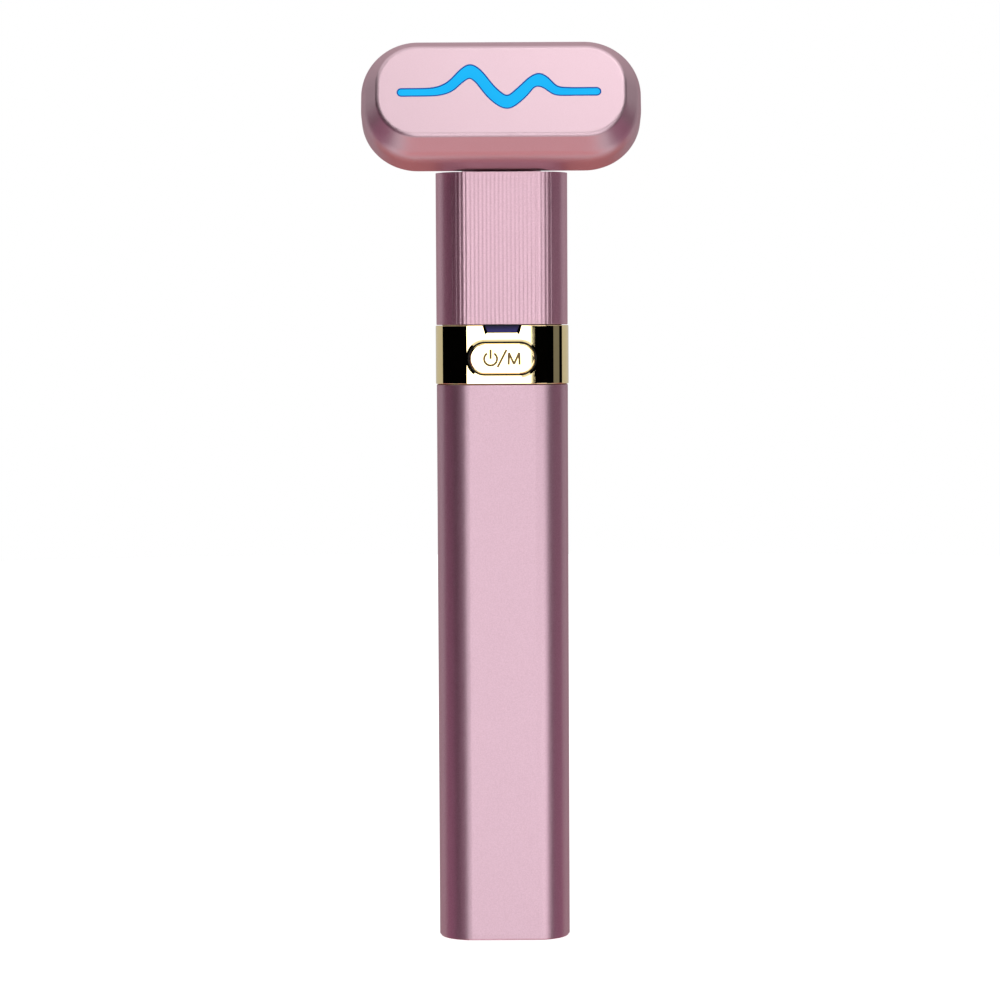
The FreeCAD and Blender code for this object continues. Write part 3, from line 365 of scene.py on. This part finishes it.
# %% [markdown]
# ## Rose anodised aluminium
# The handle, the neck and the head's front are aluminium, blasted with fine glass beads and then dyed
# rose in an anodising bath. Blasting breaks the mirror into tiny facets, so lights spread into soft
# bands. The oxide on top is clear alumina, which adds a thin white sheen over the coloured metal. A
# grain texture could be painted, but noise in the metal's own millimetres stays sharp in any view.

# %% Rose aluminium
def in_mm(tree):
    """The wand's own coordinates, in millimetres, to size a pattern by."""
    place = add_node(tree, "ShaderNodeTexCoord")
    scaled = add_node(tree, "ShaderNodeVectorMath", operation="SCALE", sockets={"Scale": 1 / MM},
                      links={0: place.outputs["Object"]})
    return scaled.outputs[0]


# Beads of about 0.08 mm leave dimples of that size, under half a pixel here: drawn two to three times
# as coarse so they show. The head's face is blasted finer than the tubes, since it lies on the skin.
# name: dimple in mm, dye with painted shade in the dimples, dye with painted light on the crests,
# strength of the dimples
BLASTED_FINISHES = {
    "bead_blasted_rose_anodised_aluminium": (0.24, "#b992a1", "#dcbbca", 0.5),
    "fluted_rose_anodised_aluminium": (0.24, "#c69aaa", "#ebc5d4", 0.5),
    "fine_blasted_rose_anodised_aluminium": (0.18, "#cbabb5", "#d7b9c4", 0.2),
}
DIMPLE_DEPTH = 0.01 * MM
SATIN_LEAST, SATIN_MOST = 0.34, 0.46
ALUMINA_IOR = 1.76

finishes = {}
for name, (dimple, dimple_dye_and_shade, crest_dye_and_light, dimpling) in BLASTED_FINISHES.items():
    finish, tree, shader = start_finish(name, {
        "Metallic": 1.0, "Specular Tint": linear("#c08d98"),
        "Coat Weight": 0.6, "Coat IOR": ALUMINA_IOR, "Coat Roughness": 0.32})
    grain = add_node(tree, "ShaderNodeTexNoise", sockets={"Scale": 1 / dimple, "Detail": 3.0},
                     links={"Vector": in_mm(tree)})
    # The rose dye is painted darker in the dimples and paler on the crests: painted shade and light.
    dye_and_dimple_shade = add_node(tree, "ShaderNodeMix", data_type="RGBA", links={"Factor": grain.outputs["Fac"]},
                   sockets={MIX_A: linear(dimple_dye_and_shade), MIX_B: linear(crest_dye_and_light)})
    gloss = add_node(tree, "ShaderNodeMapRange", links={"Value": grain.outputs["Fac"]},
                     sockets={"To Min": SATIN_LEAST, "To Max": SATIN_MOST})
    dimples = add_node(tree, "ShaderNodeBump", links={"Height": grain.outputs["Fac"]},
                       sockets={"Strength": dimpling, "Distance": DIMPLE_DEPTH})
    tree.links.new(dye_and_dimple_shade.outputs[MIX_OUT], shader.inputs["Base Color"])
    tree.links.new(gloss.outputs[0], shader.inputs["Roughness"])
    tree.links.new(dimples.outputs[0], shader.inputs["Normal"])
    finishes[name] = finish
print("rose finishes:", len(finishes))

# %% [markdown]
# ## Rose painted ABS
# The end cap and the head's back are moulded ABS, sprayed with rose pearl paint to go with the metal.
# Paint lies smoother than blasted metal and is a little less metallic, with a fine orange peel from
# the spray. Modelling the peel would cost many faces, so it is a weak bump, and its hollows are
# painted a little darker and its tops a little paler, as painted shade and light.

# %% Rose paint
SPRAY_PEEL = 0.6
PEEL_DEPTH = 0.01 * MM
# Pearl paint: satin, with tiny flakes that shine like dull metal under a clear coat.
rose_paint, tree, shader = start_finish("rose_pearl_paint_on_abs", {
    "Metallic": 0.85, "Roughness": 0.4, "Coat Weight": 0.8, "Coat Roughness": 0.3})
peel = add_node(tree, "ShaderNodeTexNoise", sockets={"Scale": 1 / SPRAY_PEEL, "Detail": 2.0},
                links={"Vector": in_mm(tree)})
# The paint's tone follows the peel: painted shade in its hollows, painted light on its tops.
peel_tone_and_shade = add_node(tree, "ShaderNodeMix", data_type="RGBA", links={"Factor": peel.outputs["Fac"]},
                 sockets={MIX_A: linear("#c495a5"), MIX_B: linear("#d2a5b5")})
skin = add_node(tree, "ShaderNodeBump", sockets={"Strength": 0.12, "Distance": PEEL_DEPTH},
                links={"Height": peel.outputs["Fac"]})
tree.links.new(peel_tone_and_shade.outputs[MIX_OUT], shader.inputs["Base Color"])
tree.links.new(skin.outputs[0], shader.inputs["Normal"])
finishes[rose_paint.name] = rose_paint
print(rose_paint.name)

# %% [markdown]
# ## Pale gold plate
# The band and the button are brass, polished and plated with pale gold: a true mirror. Wiping leaves
# faint patches that are a little less sharp, which a perfect mirror in Blender lacks, so a weak noise
# varies the gloss and the tint. A bump would bend the band's straight black edges, so there is none.

# %% Gold plate
POLISH_PATCH = 1.5
# Gold plate: a clean mirror that tints all it shows.
gold, tree, shader = start_finish("polished_pale_gold_plate_on_brass", {"Metallic": 1.0})
patches = add_node(tree, "ShaderNodeTexNoise", sockets={"Scale": 1 / POLISH_PATCH, "Detail": 2.0},
                   links={"Vector": in_mm(tree)})
plate = add_node(tree, "ShaderNodeMix", data_type="RGBA", links={"Factor": patches.outputs["Fac"]},
                 sockets={MIX_A: linear("#f0dba4"), MIX_B: linear("#f7e4b0")})
wipe = add_node(tree, "ShaderNodeMapRange", sockets={"To Min": 0.01, "To Max": 0.03},
                links={"Value": patches.outputs["Fac"]})
tree.links.new(plate.outputs[MIX_OUT], shader.inputs["Base Color"])
tree.links.new(wipe.outputs[0], shader.inputs["Roughness"])
finishes[gold.name] = gold
print(gold.name)

# %% [markdown]
# ## The lit window
# The wave in the face is a moulded acrylic window, lit from behind by blue LEDs. Acrylic by itself
# would look dark in front of a dark inside, so the light that the guide spreads behind it is given to
# the window as a glow, a little uneven as LEDs are.

# %% Blue acrylic
LED_SPACING = 9.0
ACRYLIC_IOR = 1.49
# Blue acrylic over LEDs: an almost even sky blue.
blue_acrylic, tree, shader = start_finish("moulded_blue_acrylic_lit_from_behind", {
    "Base Color": linear("#032c4c"), "Emission Strength": 0.95, "Roughness": 0.3,
    "Specular IOR Level": 0.06, "IOR": ACRYLIC_IOR})
spots = add_node(tree, "ShaderNodeTexNoise", sockets={"Scale": 1 / LED_SPACING, "Detail": 1.0},
                 links={"Vector": in_mm(tree)})
glow = add_node(tree, "ShaderNodeMix", data_type="RGBA", links={"Factor": spots.outputs["Fac"]},
                sockets={MIX_A: linear("#10b2f8"), MIX_B: linear("#1cc2ff")})
tree.links.new(glow.outputs[MIX_OUT], shader.inputs["Emission Color"])
finishes[blue_acrylic.name] = blue_acrylic
print(blue_acrylic.name)

# %% [markdown]
# ## The indicator lens
# The indicator in the band is smoked acrylic: nearly black until it lights. It could be real glass
# with a lamp behind, but at this size a painted glow looks the same: a tint that runs from indigo at
# its foot to black at its top. The lens's own box says where that run starts and ends.

# %% Smoked acrylic
# Smoked acrylic: dark indigo, polished by its mould, with a painted glow towards its foot.
lens_acrylic_painted_glow, tree, shader = start_finish("smoked_indigo_acrylic_painted_glow", {
    "Roughness": 0.2, "Specular IOR Level": 0.12, "IOR": ACRYLIC_IOR})
lens_low, lens_high = [corner[2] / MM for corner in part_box("indicator_lens")]
level = add_node(tree, "ShaderNodeSeparateXYZ", links={0: in_mm(tree)})
painted_glow_share = add_node(tree, "ShaderNodeMapRange", links={"Value": level.outputs["Z"]},
                       sockets={"From Min": lens_low, "From Max": lens_high})
# Painted glow: indigo at the foot, fading to black at the top.
smoke_tint_and_painted_glow = add_node(tree, "ShaderNodeMix", data_type="RGBA", links={"Factor": painted_glow_share.outputs[0]},
                 sockets={MIX_A: linear("#463f92"), MIX_B: linear("#14102c")})
tree.links.new(smoke_tint_and_painted_glow.outputs[MIX_OUT], shader.inputs["Base Color"])
finishes[lens_acrylic_painted_glow.name] = lens_acrylic_painted_glow
print(lens_acrylic_painted_glow.name)

# %% [markdown]
# ## The finishes inside
# Nearly nothing inside shows in the picture, but the pieces are there when the wand is opened or cut
# away. Each gets the common material of its kind. They all follow one plan, a base colour that a fine
# noise varies a little, so a table of names, colours and sizes makes them in one loop.

# %% Inner finishes
# name: two colours, pattern size in mm, metallic, roughness
INNER_FINISHES = {
    "moulded_black_nylon": ("#101011", "#1b1b1d", 0.4, 0.0, 0.55),  # soft black
    "moulded_white_nylon": ("#d8d6d0", "#e6e4de", 0.6, 0.0, 0.5),  # milky
    "green_solder_mask_on_glass_epoxy": ("#0d4a27", "#146237", 0.5, 0.0, 0.4),  # satin green
    "bright_rolled_steel": ("#9a9a9c", "#b4b4b6", 0.3, 1.0, 0.3),  # blurred mirror
    "sintered_tungsten": ("#5c5c60", "#6e6e72", 0.15, 1.0, 0.5),  # dull, grainy grey
    "plain_rose_anodised_aluminium": ("#b58490", "#c6949f", 0.3, 1.0, 0.45),  # flat rose
    "laminated_cell_foil": ("#b9bbc0", "#cdd0d4", 2.0, 0.9, 0.35),  # cloudy silver
    "grey_foam": ("#3a3a3d", "#55555a", 0.3, 0.0, 0.95),  # dry, open cells
    "translucent_silicone": ("#d9d9d6", "#e8e8e5", 1.2, 0.0, 0.45),  # hazy white
    "red_pvc_wire_sleeve": ("#8f1d1d", "#a82626", 1.0, 0.0, 0.4),  # smooth red
    "white_led_package": ("#e8e4c8", "#f2efdb", 0.5, 0.0, 0.35),  # creamy
    "amber_polyimide_film": ("#9a5a14", "#b8701e", 1.0, 0.0, 0.3),  # glossy amber
    "clear_moulded_acrylic": ("#dfe6ea", "#eef3f6", 3.0, 0.0, 0.1),  # icy, very glossy
}
for name, (dark, pale, pattern, metallic, roughness) in INNER_FINISHES.items():
    finish, tree, shader = start_finish(name, {"Metallic": metallic, "Roughness": roughness})
    specks = add_node(tree, "ShaderNodeTexNoise", sockets={"Scale": 1 / pattern, "Detail": 2.0},
                      links={"Vector": in_mm(tree)})
    tint = add_node(tree, "ShaderNodeMix", data_type="RGBA", links={"Factor": specks.outputs["Fac"]},
                    sockets={MIX_A: linear(dark), MIX_B: linear(pale)})
    tree.links.new(tint.outputs[MIX_OUT], shader.inputs["Base Color"])
    finishes[name] = finish
print("finishes:", len(finishes))

# %% [markdown]
# ## Dressing the wand
# Each CAD node is one real piece, made of one material, so it takes one finish. The frame holds the
# nodes by name, and a table says which finish each of them wears. Only the material slots are
# touched: the meshes stay as the CAD made them.

# %% Dress the CAD nodes
NODE_FINISHES = {
    "bead_blasted_rose_anodised_aluminium": ("handle_tube",),
    "fluted_rose_anodised_aluminium": ("neck_sleeve",),
    "fine_blasted_rose_anodised_aluminium": ("head_front_cover",),
    "rose_pearl_paint_on_abs": ("end_cap", "head_back_cover"),
    "polished_pale_gold_plate_on_brass": ("gold_band", "power_button"),
    "moulded_blue_acrylic_lit_from_behind": ("light_window",),
    "smoked_indigo_acrylic_painted_glow": ("indicator_lens",),
    "moulded_black_nylon": ("usb_tongue", "inner_frame", "switch_body", "board_components",
                            "button_carrier"),
    "moulded_white_nylon": ("swivel_washer", "switch_plunger", "board_connector"),
    "green_solder_mask_on_glass_epoxy": ("charge_board", "battery_board", "main_board", "led_board"),
    "bright_rolled_steel": ("usb_socket", "board_screws", "spring_washer", "swivel_tube",
                            "retaining_clip", "stop_pin", "motor_body", "motor_shaft"),
    "sintered_tungsten": ("eccentric_weight",),
    "plain_rose_anodised_aluminium": ("neck_top_plate",),
    "laminated_cell_foil": ("battery_cell",),
    "grey_foam": ("battery_pad",),
    "translucent_silicone": ("head_seal", "motor_cradle"),
    "red_pvc_wire_sleeve": ("charge_leads", "battery_leads", "head_cable"),
    "white_led_package": ("indicator_led", "head_leds"),
    "amber_polyimide_film": ("heating_film",),
    "clear_moulded_acrylic": ("light_guide",),
}
dressed = set()
for finish_name, node_names in NODE_FINISHES.items():
    for node_name in node_names:
        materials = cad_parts[node_name].data.materials
        if not materials:
            materials.append(finishes[finish_name])
        for slot in range(len(materials)):
            materials[slot] = finishes[finish_name]
        dressed.add(node_name)
print("dressed:", len(dressed), "bare:", sorted(set(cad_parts) - dressed))

# %% [markdown]
# ## The marks on the button
# The button carries the usual marks of such a wand: a power ring with its stem, a slash, and an M for
# mode. They are engraved and filled in a darker gold. A picture of them would blur in close views, so
# each mark is a curve with a round section, sunk in the button's face until only a low ridge stands
# out. It rides on the button's body, so it goes in when the button is pressed.

# %% Strokes of the marks
# Places on the button's face are in mm, right of its middle and above it.
RING_CENTRE = (-2.1, -0.05)
RING_RADIUS = 1.17
RING_OPENING = 32
RING_STEPS = 24
STEM = ((-2.1, 1.65), (-2.1, -0.05))
SLASH = ((-0.85, -1.55), (0.78, 1.6))
LETTER = ((1.15, -1.1), (1.2, 1.05), (2.12, -1.0), (3.05, 1.05), (3.12, -1.1))

ring = []
for step in range(RING_STEPS + 1):
    turn = math.radians(RING_OPENING + (360 - 2 * RING_OPENING) * step / RING_STEPS)
    ring.append((RING_CENTRE[0] + RING_RADIUS * math.sin(turn),
                 RING_CENTRE[1] + RING_RADIUS * math.cos(turn)))
# A bevel thins at a sharp corner, so the letter is four straight strokes that meet.
strokes = [ring, STEM, SLASH, *zip(LETTER, LETTER[1:])]
print("strokes:", len(strokes))

# %% [markdown]
# The strokes become one curve object with a round section. The button's own box gives the level of
# its face and its middle, so the marks follow the button if the CAD moves it.

# %% Button marks
MARK_RADIUS = 0.28 * MM
MARK_PROUD = 0.1 * MM
ENAMEL_BRUSH = 0.25

button_low, button_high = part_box("power_button")
mark_level = button_low[1] + MARK_RADIUS - MARK_PROUD
button_middle = (button_low[2] + button_high[2]) / 2
marks_data = bpy.data.curves.new("button_marks", "CURVE")
marks_data.dimensions = "3D"
marks_data.bevel_depth = MARK_RADIUS
marks_data.bevel_resolution = 3
marks_data.use_fill_caps = True
for stroke in strokes:
    line = marks_data.splines.new("POLY")
    line.points.add(len(stroke) - 1)
    for point, (across, rise) in zip(line.points, stroke):
        point.co = (across * MM, mark_level, button_middle + rise * MM, 1.0)
button_marks = bpy.data.objects.new("button_marks", marks_data)
bpy.context.scene.collection.objects.link(button_marks)

# Gold-brown enamel fill: darker than the plate and half as glossy, with fine brush marks.
mark_fill, tree, shader = start_finish("engraved_gold_brown_fill", {"Roughness": 0.4})
brush = add_node(tree, "ShaderNodeTexNoise", sockets={"Scale": 1 / ENAMEL_BRUSH, "Detail": 2.0},
                 links={"Vector": in_mm(tree)})
fill = add_node(tree, "ShaderNodeMix", data_type="RGBA", links={"Factor": brush.outputs["Fac"]},
                sockets={MIX_A: linear("#8a6d3c"), MIX_B: linear("#a98a52")})
tree.links.new(fill.outputs[MIX_OUT], shader.inputs["Base Color"])
marks_data.materials.append(mark_fill)
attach(button_marks, "button")
print("button marks stand out, mm:", MARK_PROUD / MM)

# %% [markdown]
# ## The outline of the light window
# Where the acrylic meets the metal, the narrow gap between them throws a thin line of shade round
# the wave, which is painted here as a darker blue line. The CAD window ends in a sharp edge there. A
# line drawn by hand would never fit the wave, so its front outline is read from the node's mesh: the
# edges where the front face turns into the side walls, put in order from the left end.

# %% Window outline
SAME_POINT = 0.001 * MM
SAME_LEVEL = 0.02 * MM
FACING = 0.99

bm = bmesh.new()
bm.from_mesh(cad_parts["light_window"].data)
bmesh.ops.remove_doubles(bm, verts=bm.verts, dist=SAME_POINT)
face_normal = max(bm.faces, key=lambda face: face.calc_area() * -face.normal.y).normal.copy()
front_level = max(vert.co.dot(face_normal) for vert in bm.verts)
front_faces = {
    face for face in bm.faces if face.normal.dot(face_normal) > FACING
    and abs(face.calc_center_median().dot(face_normal) - front_level) < SAME_LEVEL}
next_points = {}
for edge in bm.edges:
    if len(front_faces.intersection(edge.link_faces)) == 1:
        for this, other in (edge.verts, reversed(edge.verts)):
            next_points.setdefault(this, []).append(other)
outline = [min(next_points, key=lambda vert: vert.co.x)]
while True:
    onward = [vert for vert in next_points[outline[-1]] if vert not in outline[-2:]]
    if not onward or onward[0] is outline[0]:
        break
    outline.append(onward[0])
rim_path = [vert.co.copy() for vert in outline]
bm.free()
print("rim points:", len(rim_path))

# %% [markdown]
# ## The painted shade line round the light window
# The outline is swept with a thin round section, half sunk in the window's edge. It glows a deeper
# blue than the window: painted shade, the shadow line of the narrow gap between acrylic and metal.
# It rides on the head.

# %% Window rim, a painted shade line
RIM_RADIUS = 0.13 * MM

rim_data = bpy.data.curves.new("gap_shade_rim", "CURVE")
rim_data.dimensions = "3D"
rim_data.bevel_depth = RIM_RADIUS
rim_data.bevel_resolution = 2
line = rim_data.splines.new("POLY")
line.points.add(len(rim_path) - 1)
for point, place in zip(line.points, rim_path):
    point.co = (*place, 1.0)
line.use_cyclic_u = True
gap_shade_rim = bpy.data.objects.new("gap_shade_rim", rim_data)
bpy.context.scene.collection.objects.link(gap_shade_rim)

# Painted shade: a deeper blue glow for the shadow line in the gap round the window.
gap_shade_blue, tree, shader = start_finish("painted_gap_shade_blue_acrylic", {
    "Base Color": linear("#06284a"), "Emission Strength": 0.8, "Roughness": 0.35,
    "Specular IOR Level": 0.1})
spots = add_node(tree, "ShaderNodeTexNoise", sockets={"Scale": 1 / LED_SPACING, "Detail": 1.0},
                 links={"Vector": in_mm(tree)})
gap_shade_glow = add_node(tree, "ShaderNodeMix", data_type="RGBA", links={"Factor": spots.outputs["Fac"]},
                     sockets={MIX_A: linear("#0c50a8"), MIX_B: linear("#1660b8")})
tree.links.new(gap_shade_glow.outputs[MIX_OUT], shader.inputs["Emission Color"])
rim_data.materials.append(gap_shade_blue)
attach(gap_shade_rim, "head")
print("rim, mm thick:", 2 * RIM_RADIUS / MM)

# %% [markdown]
# ## Sizes, and the end
# The box of everything that rides on the wand is set beside the CAD box. The marks and the rim stand
# out by a hair only, and the head reaches further out than they do, so the box stays as it was.

# %% Sizes and finish
visual_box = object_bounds()
for visual_corner, cad_corner in zip(visual_box, cad_box):
    print("moved, mm:", [round((new - old) / MM, 3) for new, old in zip(visual_corner, cad_corner)])
